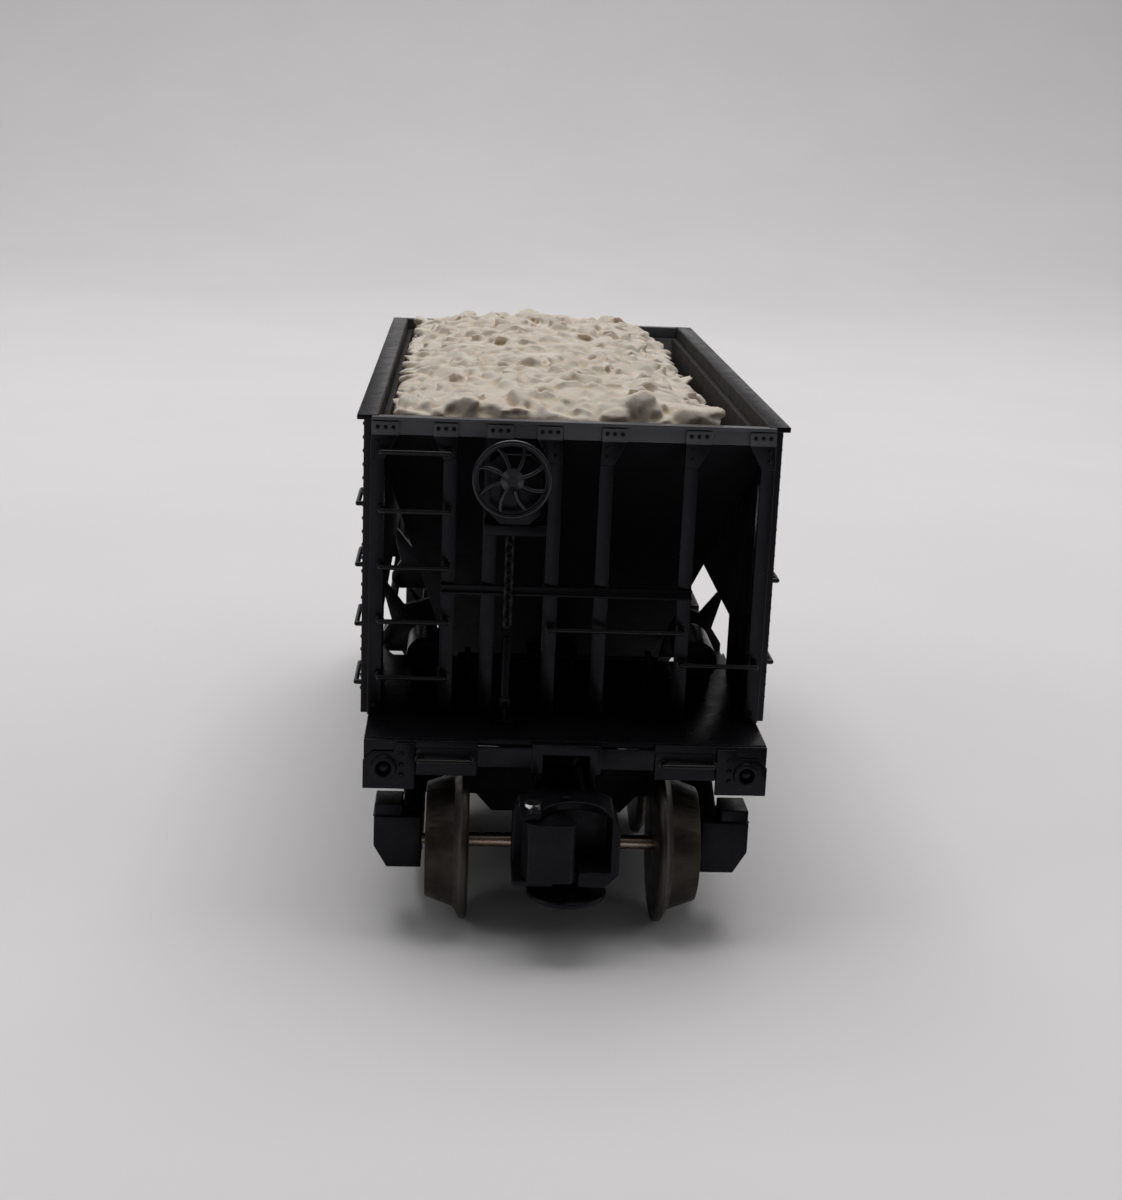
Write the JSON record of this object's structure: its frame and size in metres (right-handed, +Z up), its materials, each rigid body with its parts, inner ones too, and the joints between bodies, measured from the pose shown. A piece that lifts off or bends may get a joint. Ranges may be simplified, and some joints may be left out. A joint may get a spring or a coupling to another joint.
{
  "type": "model hopper car",
  "caption": "O gauge model of a short open ore hopper car with swivelling trucks, working knuckle couplers, discharge doors, a hand brake wheel and a lift-out stone load.",
  "frame": {"origin": "mid-car, on the plane of the wheel flange bottoms", "axes": "+Z up, +Y along the car away from the brake end, +X across the car to the right when facing the brake end"},
  "size_m": [0.0648, 0.177, 0.081],
  "materials": {
    "black_plastic": "satin black moulded plastic",
    "diecast_black": "satin black paint on die-cast metal",
    "blackened_wire": "blackened steel wire",
    "wheel_metal": "dark oxidised turned metal",
    "axle_steel": "bare drawn steel with a copper cast",
    "bright_rivet": "bright nickel-plated rivet",
    "screw_steel": "zinc-plated steel",
    "pale_stone": "rough crushed pale stone"
  },
  "bodies": {
    "carbody": {"side_sheet_left": "black_plastic", "side_sheet_right": "black_plastic", "hopper_funnel": "black_plastic", "end_chord_front": "black_plastic", "end_posts_front": "black_plastic", "end_bar_front": "black_plastic", "end_grab_irons_front": "blackened_wire", "side_ladder_front": "blackened_wire", "side_grab_irons_front": "blackened_wire", "deck_front": "black_plastic", "side_sills_front": "black_plastic", "centre_sill_front": "black_plastic", "end_sill_front": "black_plastic", "end_chord_rear": "black_plastic", "end_posts_rear": "black_plastic", "end_bar_rear": "black_plastic", "end_grab_irons_rear": "blackened_wire", "side_ladder_rear": "blackened_wire", "side_grab_irons_rear": "blackened_wire", "deck_rear": "black_plastic", "side_sills_rear": "black_plastic", "centre_sill_rear": "black_plastic", "end_sill_rear": "black_plastic", "body_bolsters": "black_plastic", "poling_pockets": "black_plastic", "kingpin_screws": "screw_steel", "brake_housing": "black_plastic", "brake_shelf": "black_plastic", "brake_chain": "blackened_wire", "brake_rod": "black_plastic", "brake_cross_shaft": "black_plastic", "air_reservoir": "black_plastic", "brake_cylinder": "black_plastic", "door_hinge_pins": "blackened_wire"},
    "handwheel": {"brake_wheel": "black_plastic"},
    "door_front": {"hopper_door_front": "black_plastic"},
    "door_rear": {"hopper_door_rear": "black_plastic"},
    "load": {"stone_load": "pale_stone"},
    "truck_front": {"truck_bolster_front": "diecast_black", "side_frames_front": "diecast_black", "truck_springs_front": "diecast_black"},
    "wheelset_outer_front": {"axle_outer_front": "axle_steel", "wheels_outer_front": "wheel_metal"},
    "wheelset_inner_front": {"axle_inner_front": "axle_steel", "wheels_inner_front": "wheel_metal"},
    "coupler_front": {"coupler_head_front": "diecast_black", "knuckle_pin_front": "bright_rivet"},
    "knuckle_front": {"knuckle_front": "diecast_black"},
    "tack_front": {"uncoupling_tack_front": "diecast_black"},
    "truck_rear": {"truck_bolster_rear": "diecast_black", "side_frames_rear": "diecast_black", "truck_springs_rear": "diecast_black"},
    "wheelset_outer_rear": {"axle_outer_rear": "axle_steel", "wheels_outer_rear": "wheel_metal"},
    "wheelset_inner_rear": {"axle_inner_rear": "axle_steel", "wheels_inner_rear": "wheel_metal"},
    "coupler_rear": {"coupler_head_rear": "diecast_black", "knuckle_pin_rear": "bright_rivet"},
    "knuckle_rear": {"knuckle_rear": "diecast_black"},
    "tack_rear": {"uncoupling_tack_rear": "diecast_black"}
  },
  "joints": [
    {"name": "handwheel_turn", "type": "hinge", "parent": "carbody", "child": "handwheel", "pos_m": [-0.0092, -0.0698, 0.0681], "axis": [0, 1, 0], "continuous": true},
    {"name": "door_front_swing", "type": "hinge", "parent": "carbody", "child": "door_front", "pos_m": [0, -0.0092, 0.0132], "axis": [1, 0, 0], "range_deg": [-60, 0]},
    {"name": "door_rear_swing", "type": "hinge", "parent": "carbody", "child": "door_rear", "pos_m": [0, 0.0092, 0.0132], "axis": [1, 0, 0], "range_deg": [0, 60]},
    {"name": "load_lift", "type": "slide", "parent": "carbody", "child": "load", "axis": [0, 0, 1], "range_m": [0, 0.03]},
    {"name": "truck_front_swivel", "type": "hinge", "parent": "carbody", "child": "truck_front", "pos_m": [0, -0.0528, 0.0185], "axis": [0, 0, 1], "range_deg": [-12, 12]},
    {"name": "wheelset_outer_front_roll", "type": "hinge", "parent": "truck_front", "child": "wheelset_outer_front", "pos_m": [0, -0.0706, 0.012], "axis": [1, 0, 0], "continuous": true},
    {"name": "wheelset_inner_front_roll", "type": "hinge", "parent": "truck_front", "child": "wheelset_inner_front", "pos_m": [0, -0.035, 0.012], "axis": [1, 0, 0], "continuous": true},
    {"name": "coupler_front_swing", "type": "hinge", "parent": "truck_front", "child": "coupler_front", "pos_m": [0, -0.0624, 0.0156], "axis": [0, 0, 1], "range_deg": [-8, 8]},
    {"name": "knuckle_front_open", "type": "hinge", "parent": "coupler_front", "child": "knuckle_front", "pos_m": [-0.005, -0.0836, 0.017], "axis": [0, 0, 1], "range_deg": [-45, 0]},
    {"name": "tack_front_drop", "type": "slide", "parent": "coupler_front", "child": "tack_front", "axis": [0, 0, -1], "range_m": [0, 0.0018], "stiffness_N_per_m": 60},
    {"name": "truck_rear_swivel", "type": "hinge", "parent": "carbody", "child": "truck_rear", "pos_m": [0, 0.0528, 0.0185], "axis": [0, 0, 1], "range_deg": [-12, 12]},
    {"name": "wheelset_outer_rear_roll", "type": "hinge", "parent": "truck_rear", "child": "wheelset_outer_rear", "pos_m": [0, 0.0706, 0.012], "axis": [1, 0, 0], "continuous": true},
    {"name": "wheelset_inner_rear_roll", "type": "hinge", "parent": "truck_rear", "child": "wheelset_inner_rear", "pos_m": [0, 0.035, 0.012], "axis": [1, 0, 0], "continuous": true},
    {"name": "coupler_rear_swing", "type": "hinge", "parent": "truck_rear", "child": "coupler_rear", "pos_m": [0, 0.0624, 0.0156], "axis": [0, 0, 1], "range_deg": [-8, 8]},
    {"name": "knuckle_rear_open", "type": "hinge", "parent": "coupler_rear", "child": "knuckle_rear", "pos_m": [0.005, 0.0836, 0.017], "axis": [0, 0, 1], "range_deg": [-45, 0]},
    {"name": "tack_rear_drop", "type": "slide", "parent": "coupler_rear", "child": "tack_rear", "axis": [0, 0, -1], "range_m": [0, 0.0018], "stiffness_N_per_m": 60}
  ],
  "couplings": [
    {"joint": "door_rear_swing", "follows": "door_front_swing", "ratio": -1}
  ]
}
